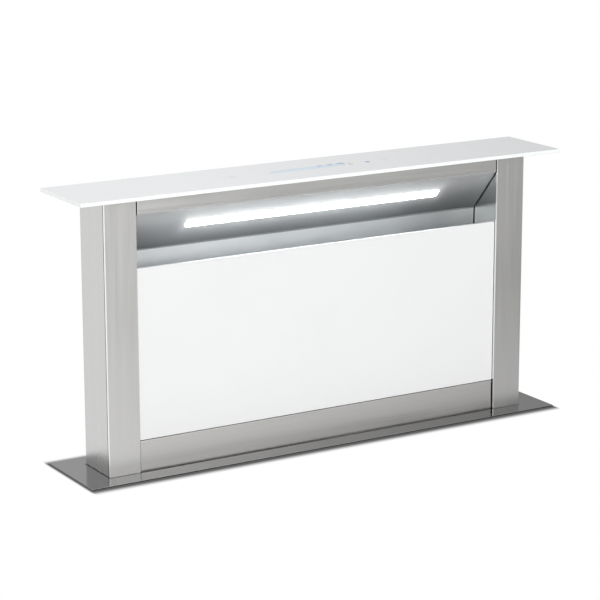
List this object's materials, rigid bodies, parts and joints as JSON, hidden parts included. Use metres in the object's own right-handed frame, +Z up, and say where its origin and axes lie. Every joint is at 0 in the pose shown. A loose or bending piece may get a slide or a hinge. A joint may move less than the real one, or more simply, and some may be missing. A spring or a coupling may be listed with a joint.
{
  "type": "downdraft vent",
  "caption": "Worktop extractor: a steel tower with a white glass lid and front rises from a flange; an air slot and light sit under the lid, the lift and blower below",
  "frame": {"origin": "the middle of the worktop cut-out, at the top face of the worktop", "axes": "+Z up, the tower faces -Y, +X to the right of someone who faces it"},
  "size_m": [0.88, 0.3458, 1.0894],
  "materials": {
    "brushed_steel": "brushed",
    "satin_steel": "satin",
    "galvanised_steel": "matt galvanised",
    "turned_steel": "turned",
    "white_glass": "gloss, opaque white glass",
    "lens_plastic": "frosted",
    "aluminium": "satin",
    "black_plastic": "moulded",
    "grey_plastic": "moulded",
    "white_plastic": "moulded",
    "circuit_board": "coated",
    "foam": "closed-cell foam"
  },
  "bodies": {
    "chassis": {"guide_rail_left": "galvanised_steel", "guide_rail_right": "galvanised_steel", "screw_bearing_left": "white_plastic", "screw_bearing_right": "white_plastic", "corner_gearbox_left": "grey_plastic", "corner_gearbox_right": "grey_plastic", "lift_motor": "black_plastic", "drive_cover": "galvanised_steel", "worktop_flange": "brushed_steel", "flange_gasket": "foam", "slot_wiper": "foam", "chassis_front_panel": "galvanised_steel", "chassis_rear_panel": "galvanised_steel", "chassis_left_side": "galvanised_steel", "chassis_right_side": "galvanised_steel", "chassis_floor": "galvanised_steel", "worktop_clamp_left": "galvanised_steel", "worktop_clamp_right": "galvanised_steel", "blower_box": "galvanised_steel", "blower_box_cover": "galvanised_steel", "blower_scroll": "galvanised_steel", "blower_motor": "grey_plastic", "outlet_collar": "black_plastic", "control_box": "galvanised_steel", "control_board": "circuit_board", "mains_gland": "black_plastic"},
    "tower": {"glass_lid": "white_glass", "lid_carrier": "galvanised_steel", "touch_board": "circuit_board", "rear_panel": "brushed_steel", "top_bar": "brushed_steel", "duct_back_wall": "satin_steel", "light_reflector": "satin_steel", "led_lens": "lens_plastic", "led_board": "aluminium", "lower_front_panel": "brushed_steel", "filter_frame": "galvanised_steel", "grease_filter_left": "aluminium", "grease_filter_right": "aluminium", "tower_base": "galvanised_steel", "column_front_left": "brushed_steel", "column_front_right": "brushed_steel", "side_panel_left": "brushed_steel", "side_panel_right": "brushed_steel", "column_frame_left": "satin_steel", "column_frame_right": "satin_steel", "lift_nut_left": "white_plastic", "lift_nut_right": "white_plastic", "guide_shoe_left": "white_plastic", "guide_shoe_right": "white_plastic"},
    "front_panel": {"front_glass": "white_glass", "front_glass_carrier": "galvanised_steel"},
    "left_screw": {"lead_screw_left": "turned_steel"},
    "right_screw": {"lead_screw_right": "turned_steel"},
    "cross_shaft": {"drive_shaft": "turned_steel"},
    "blower_wheel": {"impeller": "black_plastic"},
    "rear_flap": {"backdraft_flap_rear": "grey_plastic"},
    "front_flap": {"backdraft_flap_front": "grey_plastic"},
    "left_foot": {"levelling_foot_left": "black_plastic"},
    "right_foot": {"levelling_foot_right": "black_plastic"}
  },
  "joints": [
    {"name": "tower_lift", "type": "slide", "parent": "chassis", "child": "tower", "axis": [0, 0, 1], "range_m": [-0.433, 0]},
    {"name": "left_screw_turn", "type": "hinge", "parent": "chassis", "child": "left_screw", "pos_m": [-0.402, -0.014, -0.5], "axis": [0, 0, 1], "range_deg": [0, 7800]},
    {"name": "right_screw_turn", "type": "hinge", "parent": "chassis", "child": "right_screw", "pos_m": [0.402, -0.014, -0.5], "axis": [0, 0, 1], "range_deg": [0, 7800]},
    {"name": "cross_shaft_turn", "type": "hinge", "parent": "chassis", "child": "cross_shaft", "pos_m": [0, -0.014, -0.5785], "axis": [1, 0, 0], "range_deg": [0, 7800]},
    {"name": "front_panel_tilt", "type": "hinge", "parent": "tower", "child": "front_panel", "pos_m": [0, -0.0307, 0.0856], "axis": [1, 0, 0], "range_deg": [0, 35]},
    {"name": "impeller_spin", "type": "hinge", "parent": "chassis", "child": "blower_wheel", "pos_m": [0.07, -0.142, -0.415], "axis": [0, 1, 0], "continuous": true},
    {"name": "rear_flap_swing", "type": "hinge", "parent": "chassis", "child": "rear_flap", "pos_m": [-0.01505, -0.142, -0.5723], "axis": [-1, 0, 0], "range_deg": [0, 70], "stiffness_Nm_per_rad": 0.02, "springref_deg": -20.05},
    {"name": "front_flap_swing", "type": "hinge", "parent": "chassis", "child": "front_flap", "pos_m": [-0.01505, -0.142, -0.5723], "axis": [1, 0, 0], "range_deg": [0, 70], "stiffness_Nm_per_rad": 0.02, "springref_deg": -20.05},
    {"name": "left_foot_adjust", "type": "slide", "parent": "chassis", "child": "left_foot", "axis": [0, 0, -1], "range_m": [-0.035, 0.008]},
    {"name": "right_foot_adjust", "type": "slide", "parent": "chassis", "child": "right_foot", "axis": [0, 0, -1], "range_m": [-0.035, 0.008]}
  ],
  "couplings": [
    {"joint": "left_screw_turn", "follows": "tower_lift", "rad_per_m": -314.16},
    {"joint": "right_screw_turn", "follows": "tower_lift", "rad_per_m": -314.16},
    {"joint": "cross_shaft_turn", "follows": "tower_lift", "rad_per_m": -314.16}
  ]
}
